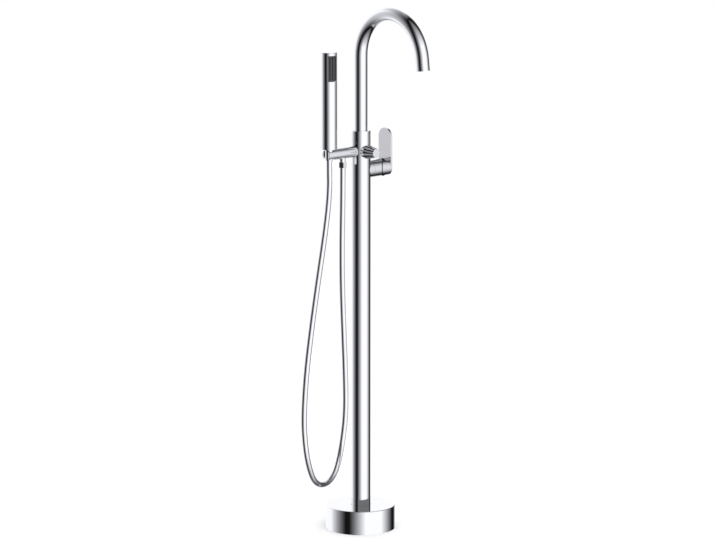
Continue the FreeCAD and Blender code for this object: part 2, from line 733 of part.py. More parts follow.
def shower_arm():
    """Bar brazed to the column, forked at its end for the hose cone."""
    bar = turned("arm_blank", [
        ("0", "0"), ("arm_dia / 2", "0"), ("arm_dia / 2", "arm_reach"), ("0", "arm_reach"),
    ], "-X", ("0", "0", ARM_LEVEL))
    bar = rounded(bar, "arm_end_edge", "arm_edge", ring_edge("arm_dia / 2", "arm_reach"))
    outside = cut("arm_outside", bar, [rod("arm_saddle", COLUMN_OUT, ABOVE)])
    spigot = rod("arm_spigot", "arm_spigot_dia / 2", COLUMN_OUT + " - arm_spigot_end + column_wall",
                 "-X", ("-arm_spigot_end", "0", ARM_LEVEL))
    whole = joined("arm_whole", [outside, spigot])
    tools = [
        rod("hook_hole", HOOK_BORE, "arm_dia", "+Z", ("-" + HOOK_REACH, "0", ARM_UNDERSIDE)),
        hook_gap("hook_gap"),
        rod("arm_bore", "outlet_bore / 2", "outlet_reach - arm_spigot_end", "-X",
            ("-arm_spigot_end", "0", ARM_LEVEL)),
        rod("outlet_port", "outlet_dia / 2", "arm_dia / 2", "+Z", ("-outlet_reach", "0", ARM_UNDERSIDE)),
    ]
    node("shower_arm", cut("arm_forked", whole, tools))
    liner = turned("liner_blank", [
        (LINER_IN + " - cone_taper", LINER_FOOT),
        (HOOK_BORE, LINER_FOOT),
        (HOOK_BORE, LINER_TOP),
        (LINER_IN, LINER_TOP),
    ], "+Z", ("-" + HOOK_REACH, "0", "0"))
    node("holder_liner", cut("liner_open", liner, [hook_gap("liner_gap")]))


def hose_outlet():
    """Nipple under the arm with its check valve, washer and the hose's union nut."""
    at = ("-outlet_reach", "0", "0")
    washer_foot = NIPPLE_FOOT + " - washer_thick"
    valve_top = OUTLET_NUT_TOP + " + valve_insert_long"
    node("hose_outlet_nipple", turned("hose_outlet_nipple", [
        ("outlet_bore / 2", NIPPLE_FOOT),
        ("outlet_dia / 2", NIPPLE_FOOT),
        ("outlet_dia / 2", ARM_LEVEL),
        ("outlet_bore / 2", ARM_LEVEL),
    ], "+Z", at))
    node("shower_check_valve", turned("shower_check_valve", [
        ("valve_insert_bore / 2", OUTLET_NUT_TOP),
        ("outlet_bore / 2", OUTLET_NUT_TOP),
        ("outlet_bore / 2", valve_top),
        ("valve_insert_bore / 2", valve_top),
    ], "+Z", at))
    node("outlet_washer", turned("outlet_washer", [
        ("outlet_bore / 2", washer_foot),
        ("outlet_dia / 2", washer_foot),
        ("outlet_dia / 2", NIPPLE_FOOT),
        ("outlet_bore / 2", NIPPLE_FOOT),
    ], "+Z", at))
    node("hose_outlet_nut", turned("hose_outlet_nut", [
        ("outlet_bore / 2", OUTLET_NUT_FOOT),
        ("outlet_nut_dia / 2", OUTLET_NUT_FOOT),
        ("outlet_nut_dia / 2", OUTLET_NUT_TOP),
        ("outlet_dia / 2", OUTLET_NUT_TOP),
        ("outlet_dia / 2", washer_foot),
        ("outlet_bore / 2", washer_foot),
    ], "+Z", at))


# ---------------------------------------------------------------- hose
def hose_path(points):
    """Straight runs joined by tangent arcs, as one wire, with the arcs' radii."""
    edges = []
    radii = []
    start = points[0]
    for before, corner, after in zip(points, points[1:], points[2:]):
        back = before - corner
        ahead = after - corner
        half_turn = (math.pi - back.getAngle(ahead)) / 2
        trim = ARC_SHARE * min(back.Length, ahead.Length)
        radii.append(trim / math.tan(half_turn))
        back.normalize()
        ahead.normalize()
        enter = corner + back * trim
        leave = corner + ahead * trim
        inward = back + ahead
        inward.normalize()
        rise = radii[-1] / math.cos(half_turn) - radii[-1]
        edges.append(Part.LineSegment(start, enter).toShape())
        edges.append(Part.Arc(enter, corner + inward * rise, leave).toShape())
        start = leave
    edges.append(Part.LineSegment(start, points[-1]).toShape())
    return Part.Wire(edges), radii


def shower_hose():
    """The hose's tube, swept along its route between the outlet nut and the cone."""
    points = [FreeCAD.Vector(*point) for point in HOSE_ROUTE]
    points[0] = FreeCAD.Vector(-SIZE["outlet_reach"], 0, worth(OUTLET_NUT_FOOT))
    points[-1] = FreeCAD.Vector(-worth(HOOK_REACH), 0, worth(CONE_FOOT))
    wire, radii = hose_path(points)
    radius = SIZE["hose_dia"] / 2
    section = Part.Wire([Part.Circle(points[0], points[1] - points[0], radius).toShape()])
    tube = wire.makePipeShell([section], True, False)
    hose = doc.addObject("Part::Feature", "shower_hose")
    hose.Shape = tube
    ratio = tube.Volume / (math.pi * radius ** 2 * wire.Length)
    print("hose length %.0f mm, volume over section times length %.5f" % (wire.Length, ratio))
    print("hose arc radii in diameters:", " ".join("%.1f" % (r / SIZE["hose_dia"]) for r in radii))
    node("shower_hose", hose)


def hose_cone():
    """Conical union nut at the hose's upper end, which seats in the arm's fork."""
    at = ("-" + HOOK_REACH, "0", "0")
    wide = LINER_IN + " - run_gap"
    low = "%s - cone_taper * (1 + cone_below / liner_rise)" % wide
    bore = "inlet_dia / 2 + run_gap"
    washer_top = CONE_WASHER_FOOT + " + washer_thick"
    node("hose_cone", turned("hose_cone", [
        ("outlet_bore / 2", CONE_FOOT),
        (low, CONE_FOOT),
        (wide, LINER_TOP),
        (wide, CONE_TOP),
        (bore, CONE_TOP),
        (bore, CONE_WASHER_FOOT),
        ("outlet_bore / 2", CONE_WASHER_FOOT),
    ], "+Z", at))
    node("cone_washer", turned("cone_washer", [
        ("outlet_bore / 2", CONE_WASHER_FOOT),
        ("inlet_dia / 2", CONE_WASHER_FOOT),
        ("inlet_dia / 2", washer_top),
        ("outlet_bore / 2", washer_top),
    ], "+Z", at))


# ---------------------------------------------------------------- hand shower
def spray_side(thing, x, y, z, turn=FreeCAD.Rotation()):
    """Places a piece in the handset's own frame, which is yawed about the handset's axis."""
    across, along = swung(x, y, "-spray_yaw")
    place(thing, "+Z", ("-%s + %s" % (HOOK_REACH, across), along, z))
    yaw = FreeCAD.Rotation(FreeCAD.Vector(0, 0, 1), -SIZE["spray_yaw"])
    thing.Placement.Rotation = yaw.multiply(turn)
    return thing


def spray_box(name, half, back, front, foot, top):
    """A box between two distances in front of the handset's axis."""
    box = doc.addObject("Part::Box", name)
    bind(box, Length="2 * " + half, Width="(%s) - (%s)" % (front, back), Height="(%s) - (%s)" % (top, foot))
    return spray_side(box, "-" + half, "-(%s)" % front, foot)


def handset():
    """Hand shower: drawn tube, inlet, waterway, chamber and spray plate."""
    at = ("-" + HOOK_REACH, "0", "0")
    deck_top = HANDSET_DECK + " + handset_floor"
    ceiling = HANDSET_TOP + " - handset_wall"
    waterway = "outlet_bore / 2 + handset_wall"
    tube = turned("handset_blank", [
        ("inlet_dia / 2", HANDSET_FOOT),
        ("handset_dia / 2", HANDSET_FOOT),
        ("handset_dia / 2", HANDSET_TOP),
        ("0", HANDSET_TOP),
        ("0", ceiling),
        (HANDSET_IN, ceiling),
        (HANDSET_IN, HANDSET_DECK),
        ("inlet_dia / 2", HANDSET_DECK),
    ], "+Z", at)
    for name, level in (("handset_top_edge", HANDSET_TOP), ("handset_foot_edge", HANDSET_FOOT)):
        tube = rounded(tube, name, "handset_edge", ring_edge("handset_dia / 2", level))
    window = spray_box("spray_window", "(spray_wide / 2)", PLATE_BACK, "handset_dia / 2",
                       SPRAY_FOOT, SPRAY_TOP)
    node("handset_tube", cut("handset_windowed", tube, [window]))
    node("handset_inlet", turned("handset_inlet", [
        ("outlet_bore / 2", INLET_FOOT),
        ("inlet_dia / 2", INLET_FOOT),
        ("inlet_dia / 2", HANDSET_DECK),
        ("inlet_flange_dia / 2", HANDSET_DECK),
        ("inlet_flange_dia / 2", deck_top),
        ("outlet_bore / 2", deck_top),
    ], "+Z", at))
    node("handset_waterway", turned("handset_waterway", [
        ("outlet_bore / 2", deck_top),
        (waterway, deck_top),
        (waterway, SPRAY_FOOT),
        ("outlet_bore / 2", SPRAY_FOOT),
    ], "+Z", at))
    chamber_back = PLATE_BACK + " - chamber_deep"
    chamber = spray_box("chamber_block", CHAMBER_HALF, chamber_back, PLATE_BACK, SPRAY_FOOT, SPRAY_TOP)
    hollow = spray_box("chamber_hollow", "(%s - chamber_wall)" % CHAMBER_HALF,
                       chamber_back + " + chamber_wall", PLATE_BACK,
                       SPRAY_FOOT + " + chamber_wall", SPRAY_TOP + " - chamber_wall")
    node("spray_chamber", cut("chamber_open", chamber, [hollow]))
    node("spray_plate", spray_plate())


def spray_plate():
    """Flat plate in the handset's window, with rows of raised six-sided nozzles."""
    plate = spray_box("plate_blank", "(spray_wide / 2)", PLATE_BACK, SPRAY_FACE, SPRAY_FOOT, SPRAY_TOP)
    nozzles = []
    columns = int(SIZE["nozzle_columns"])
    rows = int(SIZE["nozzle_rows"])
    for column_index in range(columns):
        x = "%.1f * nozzle_pitch" % (column_index - (columns - 1) / 2)
        for row_index in range(rows):
            z = "%s + spray_high / 2 + %.1f * nozzle_pitch" % (SPRAY_FOOT, row_index - (rows - 1) / 2)
            nozzle = doc.addObject("Part::Prism", "nozzle")
            nozzle.Polygon = HEX_SIDES
            bind(nozzle, Circumradius="nozzle_dia / 2", Height="spray_thick / 2 + nozzle_out")
            spray_side(nozzle, x, "-(%s - spray_thick / 2)" % SPRAY_FACE, z, TURNS["-Y"])
            nozzles.append(nozzle)
    return joined("plate_with_nozzles", [plate] + nozzles)


# ---------------------------------------------------------------- diverter
def diverter():
    """Collar and cartridge on the column, with the knob that turns the stem."""
    at = ("0", "0", ARM_LEVEL)
    saddle = rod("collar_saddle", COLUMN_OUT, ABOVE)
    collar = turned("collar_blank", [
        ("diverter_dia / 2", "0"),
        ("knob_root_dia / 2", "0"),
        ("knob_root_dia / 2", COLLAR_END),
        ("diverter_dia / 2", COLLAR_END),
    ], "-Y", at)
    node("diverter_collar", cut("collar_saddled", collar, [saddle]))
    node("diverter_cartridge", rod("diverter_cartridge", "diverter_dia / 2",
                                   DIVERTER_END + " - arm_spigot_end", "-Y",
                                   ("0", "-arm_spigot_end", ARM_LEVEL)))
    screw_hole = rod("knob_screw_hole", "knob_screw_dia / 2", "knob_root_dia / 2", "+Z",
                     ("0", "-" + KNOB_SCREW_REACH, ARM_LEVEL + " - knob_root_dia / 2"))
    node("diverter_knob", cut("knob_tapped", fluted_knob(at), [screw_hole]))
    node("diverter_stem", rod("diverter_stem", "knob_stem_dia / 2",
                              KNOB_STEM_END + " - " + KNOB_STEM_FOOT, "-Y",
                              ("0", "-" + KNOB_STEM_FOOT, ARM_LEVEL)))
    node("knob_screw", rod("knob_screw", "knob_screw_dia / 2", "knob_screw_long", "+Z",
                           ("0", "-" + KNOB_SCREW_REACH,
                            ARM_LEVEL + " - knob_stem_dia / 2 - knob_screw_long")))


def fluted_knob(at):
    """Tapered knob with a cup over the cartridge and flutes along its taper."""
    knob = turned("knob_blank", [
        (KNOB_CUP, KNOB_FOOT),
        ("knob_root_dia / 2", KNOB_FOOT),
        ("knob_tip_dia / 2", KNOB_END),
        ("0", KNOB_END),
        ("0", KNOB_STEM_END),
        ("knob_stem_dia / 2", KNOB_STEM_END),
        ("knob_stem_dia / 2", KNOB_CUP_END),
        (KNOB_CUP, KNOB_CUP_END),
    ], "-Y", at)
    knob = rounded(knob, "knob_tip_edge", "knob_edge", ring_edge("knob_tip_dia / 2", KNOB_END))
    doc.recompute()
    taper = "((knob_root_dia - knob_tip_dia) / 2)"
    overrun = 0.2
    flute = knob.newObject("PartDesign::SubtractiveCylinder", "flute")
    bind(flute, Radius="flute_dia / 2", Height="%.1f * knob_long" % (1 + 2 * overrun))
    lean = math.degrees(math.atan2(worth(taper), SIZE["knob_long"]))
    flute.Placement = FreeCAD.Placement(FreeCAD.Vector(), FreeCAD.Rotation(FreeCAD.Vector(0, 1, 0), -lean))
    out = "knob_root_dia / 2 + flute_dia / 2 - flute_sink + %.1f * %s" % (overrun, taper)
    flute.setExpression("Placement.Base.x", bound(out))
    flute.setExpression("Placement.Base.z", bound("%s - %.1f * knob_long" % (KNOB_FOOT, overrun)))
    doc.recompute()
    pattern = knob.newObject("PartDesign::PolarPattern", "flutes")
    pattern.Originals = [flute]
    pattern.Axis = (knob.Group[0], ["V_Axis"])
    pattern.Angle = 360
    bind(pattern, Occurrences="flute_count")
    knob.Tip = pattern
    return knob


# ---------------------------------------------------------------- valve
def valve():
    """Neck, cartridge, gland nut and the sleeve that turns for the temperature."""
    at = ("0", "0", VALVE_LEVEL)
    neck = turned("neck_blank", [
        (CARTRIDGE_OUT, "0"),
        (VALVE_OUT, "0"),
        (VALVE_OUT, NECK_END),
        (NECK_SPIGOT, NECK_END),
        (NECK_SPIGOT, NECK_SPIGOT_END),
        (CARTRIDGE_OUT, NECK_SPIGOT_END),
    ], "+X", at)
    node("valve_neck", cut("neck_saddled", neck, [rod("neck_saddle", COLUMN_OUT, ABOVE)]))
    cartridge = turned("cartridge_blank", [
        ("0", "-cartridge_deep"),
        (CARTRIDGE_OUT, "-cartridge_deep"),
        (CARTRIDGE_OUT, SHOULDER),
        ("nose_dia / 2", NOSE),
        ("0", NOSE),
    ], "+X", at)
    socket = doc.addObject("Part::Sphere", "ball_socket")
    bind(socket, Radius="stem_ball_dia / 2 + run_gap")
    place(socket, "+Z", (PIVOT, "0", VALVE_LEVEL))
    node("mixing_cartridge", cut("cartridge_socketed", cartridge, [socket]))
    node("cartridge_nut", turned("cartridge_nut", [
        (CARTRIDGE_OUT, NECK_SPIGOT_END),
        (GLAND_OUT, NECK_SPIGOT_END),
        (GLAND_OUT, GLAND_FOOT),
        (NECK_SPIGOT, GLAND_FOOT),
        (NECK_SPIGOT, GLAND_TOP),
        (CARTRIDGE_OUT, GLAND_TOP),
    ], "+X", at))
    rib_bore = GLAND_OUT + " + run_gap"
    sleeve = turned("sleeve_blank", [
        (SLEEVE_BORE, NECK_END + " + run_gap"),
        (VALVE_OUT, NECK_END + " + run_gap"),
        (VALVE_OUT, PIVOT),
        (SLEEVE_BORE, PIVOT),
        (SLEEVE_BORE, RIB_TOP),
        (rib_bore, RIB_TOP),
        (rib_bore, RIB_FOOT),
        (SLEEVE_BORE, RIB_FOOT),
    ], "+X", at)
    saddle = rod("sleeve_saddle", SEAM + " + run_gap", "2 * valve_dia", "+Y",
                 (PIVOT, "-valve_dia", VALVE_LEVEL))
    node("temperature_sleeve", cut("sleeve_saddled", sleeve, [saddle]))


def lever():
    """Paddle lever with a knuckle that tilts in the sleeve's saddle, and its stem."""
    barrel = rod("lever_barrel", VALVE_OUT, LEVER_END + " - " + NECK_END, "+X",
                 (NECK_END, "0", VALVE_LEVEL))
    roller = rod("lever_roller", SEAM, "2 * valve_dia", "+Y", (PIVOT, "-valve_dia", VALVE_LEVEL))
    front = block("lever_front", ("valve_dia", "valve_dia", "valve_dia"),
                  (PIVOT, "-valve_dia / 2", VALVE_LEVEL + " - valve_dia / 2"))
    knuckle = shared("lever_knuckle", barrel, joined("lever_round", [roller, front]))
    solid = joined("lever_solid", [knuckle, lever_paddle()])
    slot_half = "(cartridge_dia / 2 + lever_slot_gap)"
    seam_back = PIVOT + " - sqrt(%s^2 - %s^2)" % (SEAM, VALVE_OUT)
    screw_at = LEVER_END + " - lever_plate / 2"
    tools = [
        rod("lever_bore", VALVE_OUT + " - lever_wall", LEVER_INNER + " - " + NECK_END, "+X",
            (NECK_END, "0", VALVE_LEVEL)),
        block("lever_slot", (seam_back + " - " + NECK_END, "2 * " + slot_half, "2 * valve_dia"),
              (NECK_END, "-" + slot_half, VALVE_LEVEL + " - valve_dia")),
        rod("lever_stem_hole", "stem_dia / 2", STEM_END + " - " + LEVER_INNER, "+X",
            (LEVER_INNER, "0", VALVE_LEVEL)),
        rod("lever_screw_hole", "lever_screw_dia / 2", VALVE_OUT, "+Z",
            (screw_at, "0", VALVE_LEVEL + " - " + VALVE_OUT)),
    ]
    node("lever_handle", cut("lever_cut", solid, tools))
    ball = doc.addObject("Part::Sphere", "stem_ball")
    bind(ball, Radius="stem_ball_dia / 2")
    place(ball, "+Z", (PIVOT, "0", VALVE_LEVEL))
    shank = rod("stem_shank", "stem_dia / 2", STEM_END + " - " + PIVOT, "+X", (PIVOT, "0", VALVE_LEVEL))
    node("cartridge_stem", joined("stem_whole", [ball, shank]))
    node("lever_screw", rod("lever_screw", "lever_screw_dia / 2", "lever_screw_long", "+Z",
                            (screw_at, "0", VALVE_LEVEL + " - stem_dia / 2 - lever_screw_long")))


def lever_paddle():
    """Flat paddle with a half-round foot and top, and softened edges."""
    body = doc.addObject("PartDesign::Body", "lever_paddle")
    sketch = flat_sketch(body, "YZ_Plane", "paddle_outline")
    half = worth(VALVE_OUT)
    rise = worth(PADDLE_RISE)
    normal = FreeCAD.Vector(0, 0, 1)
    low = Part.Circle(FreeCAD.Vector(), normal, half)
    high = Part.Circle(FreeCAD.Vector(0, rise, 0), normal, half)
    sketch.addGeometry(Part.ArcOfCircle(low, math.pi, 2 * math.pi), False)
    sketch.addGeometry(Part.LineSegment(FreeCAD.Vector(half, 0, 0), FreeCAD.Vector(half, rise, 0)), False)
    sketch.addGeometry(Part.ArcOfCircle(high, 0, math.pi), False)
    sketch.addGeometry(Part.LineSegment(FreeCAD.Vector(-half, rise, 0), FreeCAD.Vector(-half, 0, 0)), False)
    sketch.addConstraint(Sketcher.Constraint("Coincident", 0, 3, -1, 1))
    for curve in range(4):
        sketch.addConstraint(Sketcher.Constraint("Tangent", curve, 2, (curve + 1) % 4, 1))
    sketch.addConstraint(Sketcher.Constraint("Vertical", 1))
    tie(sketch, "Radius", (0, half), VALVE_OUT)
    tie(sketch, "DistanceY", (0, 3, 2, 3, rise), PADDLE_RISE)
    pad = body.newObject("PartDesign::Pad", "paddle_pad")
    pad.Profile = sketch
    bind(pad, Length="lever_plate")
    place(body, "+Z", (LEVER_INNER, "0", VALVE_LEVEL))
    outer = SIZE["lever_plate"]

    def on_outer_face(edge):
        return abs(edge.BoundBox.XMin - outer) < CLOSE and abs(edge.BoundBox.XMax - outer) < CLOSE
    return rounded(body, "paddle_edge", "lever_edge", on_outer_face)


floor_flange()
base_cover()
column()
mixer_body()
supplies()
spout()
spout_spigot()
aerator()
shower_arm()
hose_outlet()
shower_hose()
hose_cone()
handset()
diverter()
valve()
lever()
doc.recompute()

# ---------------------------------------------------------------- checks and files
FACET_SAG = 0.5
FACET_TURN = 0.5
for thing in doc.Objects:
    faults = [state for state in thing.State if state in ("Invalid", "Error")]
    if faults:
        raise ValueError("%s: %s" % (thing.Label, faults))
facets = 0
for label, thing in sorted(NODES.items()):
    shape = thing.Shape
    if shape.isNull() or not shape.isValid() or not shape.Solids:
        raise ValueError("bad shape: " + label)
    mesh = MeshPart.meshFromShape(Shape=shape, LinearDeflection=FACET_SAG, AngularDeflection=FACET_TURN)
    facets += mesh.CountFacets
    print("%-22s solids %2d volume %11.1f facets %5d"
          % (label, len(shape.Solids), shape.Volume, mesh.CountFacets))
for label, thing in sorted(NODES.items()):
    thing.Shape.exportStep("parts/%s.step" % label)
print("%d nodes, %d facets" % (len(NODES), facets))
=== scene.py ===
"""Floor standing bath filler: finishes, hose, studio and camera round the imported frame."""
import json
import math
import bpy
import bmesh
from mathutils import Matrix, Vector


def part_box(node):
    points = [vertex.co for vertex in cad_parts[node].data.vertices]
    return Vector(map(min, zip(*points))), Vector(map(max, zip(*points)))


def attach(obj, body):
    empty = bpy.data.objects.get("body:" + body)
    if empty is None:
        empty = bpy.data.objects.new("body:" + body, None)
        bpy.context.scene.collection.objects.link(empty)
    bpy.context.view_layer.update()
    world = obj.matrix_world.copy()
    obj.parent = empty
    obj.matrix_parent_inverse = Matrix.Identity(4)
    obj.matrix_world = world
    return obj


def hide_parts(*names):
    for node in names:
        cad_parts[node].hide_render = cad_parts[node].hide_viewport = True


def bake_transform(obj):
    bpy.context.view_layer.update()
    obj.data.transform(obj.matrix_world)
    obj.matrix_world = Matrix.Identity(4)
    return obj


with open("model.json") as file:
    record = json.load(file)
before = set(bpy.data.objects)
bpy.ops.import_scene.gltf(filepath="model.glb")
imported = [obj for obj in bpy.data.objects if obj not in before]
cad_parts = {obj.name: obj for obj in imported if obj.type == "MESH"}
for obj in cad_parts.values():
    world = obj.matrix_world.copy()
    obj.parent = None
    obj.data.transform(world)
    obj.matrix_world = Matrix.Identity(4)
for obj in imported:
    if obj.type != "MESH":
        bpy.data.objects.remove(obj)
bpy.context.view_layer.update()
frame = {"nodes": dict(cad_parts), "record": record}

# ---------------------------------------------------------------- picture and camera
# The camera stands at an azimuth and elevation seen from the object, and AXIS_COLUMN is the pixel column
# that the object's axis has in the picture.
PICTURE_WIDTH = 716
SENSOR_WIDTH = 36.0
FOCAL_PIXELS = 3969.7
CAMERA_AZIMUTH = math.radians(-41.37)
CAMERA_ELEVATION = math.radians(10.92)
CAMERA_DISTANCE = 8.6897
CAMERA_REACH = 200
AIM_HEIGHT = 0.5789
AXIS_COLUMN = 360.65
TOWARD_CAMERA = CAMERA_AZIMUTH - math.pi / 2

# ---------------------------------------------------------------- hose, in metres
HOSE_DIAMETER = 0.0135
HOSE_SIDES = 32
HOSE_STEPS = 12
HOSE_ROUTE = [
    (-0.0525, 0.0, 0.812),
    (-0.0525, 0.0, 0.752),
    (-0.055, 0.0, 0.650),
    (-0.0545, 0.0, 0.550),
    (-0.050, 0.0, 0.450),
    (-0.0435, 0.002, 0.350),
    (-0.0395, 0.005, 0.268),
    (-0.045, 0.008, 0.207),
    (-0.058, 0.0065, 0.160),
    (-0.075, 0.001, 0.133),
    (-0.0995, -0.007, 0.1185),
    (-0.129, -0.0165, 0.118),
    (-0.156, -0.025, 0.132),
    (-0.1755, -0.032, 0.160),
    (-0.1925, -0.038, 0.207),
    (-0.202, -0.0415, 0.278),
    (-0.196, -0.0435, 0.380),
    (-0.177, -0.0405, 0.482),
    (-0.152, -0.033, 0.580),
    (-0.1235, -0.022, 0.672),
    (-0.104, -0.012, 0.737),
    (-0.0925, -0.0025, 0.780),
    (-0.091, 0.0, 0.802),
    (-0.091, 0.0, 0.832),
]

# ---------------------------------------------------------------- outlet nut, in metres
NUT_SIDES = 24
NUT_FLATS = 6
NUT_TURN = math.radians(-149)
NUT_CHAMFER = 0.0009
NUT_HOLE = 0.0045
NUT_SOCKET = 0.0073
NUT_FLOOR = 0.005

# ---------------------------------------------------------------- spray plate and nozzles, in metres
SPRAY_WIDE = 0.023
SPRAY_FACE = 0.01385
SPRAY_THICK = 0.0025
SPRAY_YAW = math.radians(8)
SPRAY_EDGE = 0.0004
NOZZLE_RADIUS = 0.0019
NOZZLE_OUT = 0.0011
NOZZLE_COLUMNS = 3
NOZZLE_ROWS = 11
NOZZLE_ACROSS = 0.0068
NOZZLE_UP = 0.0046
NOZZLE_SIDES = 16
NOZZLE_GLOSS = 0.2
# A nozzle's outline towards its tip: shares of its radius, and of its height, measured from the tip.
NOZZLE_OUTLINE = ((1.0, 0.5), (0.8, 0.15), (0.5, 0.0))

# ---------------------------------------------------------------- finishes
CAD_CREASE = math.radians(32)
PIECE_CREASE = math.radians(40)
DRIFT_DETAIL = 2.0
WAVE_DETAIL = 4.0
WAVE_FINER = 4
WAVE_DEPTH = 0.0004
TINT_SCALE = 60.0
GRAIN_SCALE = 900.0
GRAIN_STRENGTH = 0.05
GRAIN_DEPTH = 0.0002
CHROME_LOOK = {
    "low": (0.86, 0.865, 0.885),
    "high": (0.90, 0.905, 0.92),
    "smooth": 0.03,
    "rough": 0.06,
    "scale": 14.0,
}
# The dark colour painted as shade into the knob's flute bottoms and along the seam of the sleeve and the
# lever.
PAINTED_SHADE_COLOUR = (0.02, 0.02, 0.022)

# The knob's flute bottoms and the saddle seam between the sleeve and the lever get painted shade. The
# seam is part of a cylinder round the lever's cross axis, which lies SEAM_REACH from the lever's near
# end.
KNOB_LOW, KNOB_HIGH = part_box("diverter_knob")
KNOB_FACE_EDGE = 0.0008
FLUTES = 12
FLUTE_SHADE_START = -0.1
FLUTE_SHADE_FULL = 0.5
SLEEVE_LOW, SLEEVE_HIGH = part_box("temperature_sleeve")
SEAM_REACH = 0.0205
SEAM_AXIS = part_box("lever_handle")[0].x + SEAM_REACH
SEAM_RADIUS = 0.0206
SEAM_SHADE_WIDTH = 0.0016
SEAM_SHADE_CORE = 0.6 * SEAM_SHADE_WIDTH

# The hand shower's pieces: the photo doesn't show them mirrored in the column beside them.
UNMIRRORED = ("handset_tube", "handset_inlet", "handset_waterway", "spray_chamber", "spray_plate",
              "hose_cone", "cone_washer")

# ---------------------------------------------------------------- room, card, floor and lamp
# The room that gloss sees is a pale dome with two soft dark gaps, one in front on the left and one behind
# on the right. Turns are in degrees from the camera, negative to its left, and 180 is behind the object.
# Heights are in degrees above the horizon. Brightness is as the picture shows it, and the gain makes up
# for what the chrome takes away.
FRONT_PALE = 1.0
BACK_PALE = 0.98
DARK = 0.08
LEFT_GAP = -45
LEFT_BACK_SOFT = 64
RIGHT_GAP = 135
RIGHT_BACK_SOFT = 25
GAP_HALF = 7
FRONT_SOFT = 55
GAP_EASE = 0.75
FADE_START = 30
FADE_END = 90
FADE_SHOWN = 0.3
ROOM_RADIUS = 40.0
ROOM_MIDDLE = 0.6
ROOM_STEP = 2
ROOM_GAIN = 1.14
ROOM_TINT = (0.985, 0.985, 1.02)

# A grey card, low in front, whose underside dims what the column's foot shows in the base.
CARD_LEVEL = 0.35
CARD_NEAR = 0.6
CARD_FAR = 2.4
CARD_LEFT = -30
CARD_RIGHT = 110
CARD_STEP = 5
CARD_SHOWN = 0.19

FLOOR_HALF = 40.0
FLOOR_ROUGH = 0.9
FLOOR_LIFT = 0.05
FLOOR_LOW = (0.93, 0.93, 0.93)
FLOOR_HIGH = (0.95, 0.95, 0.95)
FLOOR_SCALE = 3.0
WORLD_LIGHT = 1.0
LAMP_POWER = 60
LAMP_SIZE = 2.5
LAMP_PLACE = (-1.5, -2.5, 3.5)
LAMP_AIM = (0, 0, 0.5)
WHITE = (1, 1, 1, 1)


# ---------------------------------------------------------------- material nodes
def feed(tree, socket, value):
    """Gives a socket a link from another node, or a plain value."""
    if isinstance(value, bpy.types.NodeSocket):
        tree.links.new(value, socket)
    else:
        socket.default_value = value


def surface(name, kind):
    """A new material whose one shader node, of the kind named, feeds its output."""
    material = bpy.data.materials.new(name)
    material.use_nodes = True
    tree = material.node_tree
    tree.nodes.clear()
    output = tree.nodes.new("ShaderNodeOutputMaterial")
    shader = tree.nodes.new(kind)
    tree.links.new(shader.outputs[0], output.inputs["Surface"])
    return material, tree, shader


def noise(tree, scale, detail=3.0, stretch=(1, 1, 1)):
    """Noise laid on the piece's own coordinates, in metres."""
    place = tree.nodes.new("ShaderNodeTexCoord")
    spread = tree.nodes.new("ShaderNodeMapping")
    spread.inputs["Scale"].default_value = stretch
    grain = tree.nodes.new("ShaderNodeTexNoise")
    grain.inputs["Scale"].default_value = scale
    grain.inputs["Detail"].default_value = detail
    tree.links.new(place.outputs["Object"], spread.inputs["Vector"])
    tree.links.new(spread.outputs["Vector"], grain.inputs["Vector"])
    return grain.outputs["Fac"]


def between(tree, factor, low, high):
    """A value that runs from low to high with a factor."""
    span = tree.nodes.new("ShaderNodeMapRange")
    span.inputs["To Min"].default_value = low
    span.inputs["To Max"].default_value = high
    tree.links.new(factor, span.inputs["Value"])
    return span.outputs["Result"]


def ramp(tree, value, start, end):
    """0 up to the start, 1 from the end on."""
    span = tree.nodes.new("ShaderNodeMapRange")
    span.inputs["From Min"].default_value = start
    span.inputs["From Max"].default_value = end
    tree.links.new(value, span.inputs["Value"])
    return span.outputs["Result"]


def tint(tree, factor, low, high):
    """A colour that runs with a factor from low, a colour or a socket, to the colour high."""
    mix = tree.nodes.new("ShaderNodeMix")
    mix.data_type = "RGBA"
    feed(tree, mix.inputs["A"], (*low, 1) if isinstance(low, tuple) else low)
    feed(tree, mix.inputs["B"], (*high, 1))
    tree.links.new(factor, mix.inputs["Factor"])
    return mix.outputs["Result"]


def sums(tree, operation, *values):
    """One math node, fed by sockets or plain numbers."""
    step = tree.nodes.new("ShaderNodeMath")
    step.operation = operation
    for socket, value in zip(step.inputs, values):
        feed(tree, socket, value)
    return step.outputs["Value"]


def own_place(tree):
    """The three coordinates of the shaded spot in the piece's own frame."""
    place = tree.nodes.new("ShaderNodeTexCoord")
    split = tree.nodes.new("ShaderNodeSeparateXYZ")
    tree.links.new(place.outputs["Object"], split.inputs["Vector"])
    return split.outputs["X"], split.outputs["Y"], split.outputs["Z"]


def bumped(tree, shader, factor, strength, depth):
    """Gives a shader a bump from a factor."""
    bump = tree.nodes.new("ShaderNodeBump")
    bump.inputs["Strength"].default_value = strength
    bump.inputs["Distance"].default_value = depth
    tree.links.new(factor, bump.inputs["Height"])
    tree.links.new(bump.outputs["Normal"], shader.inputs["Normal"])


# ---------------------------------------------------------------- materials
def metal(name, low, high, smooth, rough, scale, stretch=(1, 1, 1), wave=0.0):
    """A metal whose colour and polish drift a little over its surface."""
    material, tree, shader = surface(name, "ShaderNodeBsdfPrincipled")
    shader.inputs["Metallic"].default_value = 1.0
    drift = noise(tree, scale, DRIFT_DETAIL, stretch)
    tree.links.new(tint(tree, drift, low, high), shader.inputs["Base Color"])
    tree.links.new(between(tree, drift, smooth, rough), shader.inputs["Roughness"])
    if wave:
        ripple = noise(tree, scale * WAVE_FINER, WAVE_DETAIL, stretch)
        bumped(tree, shader, ripple, wave, WAVE_DEPTH)
    return material


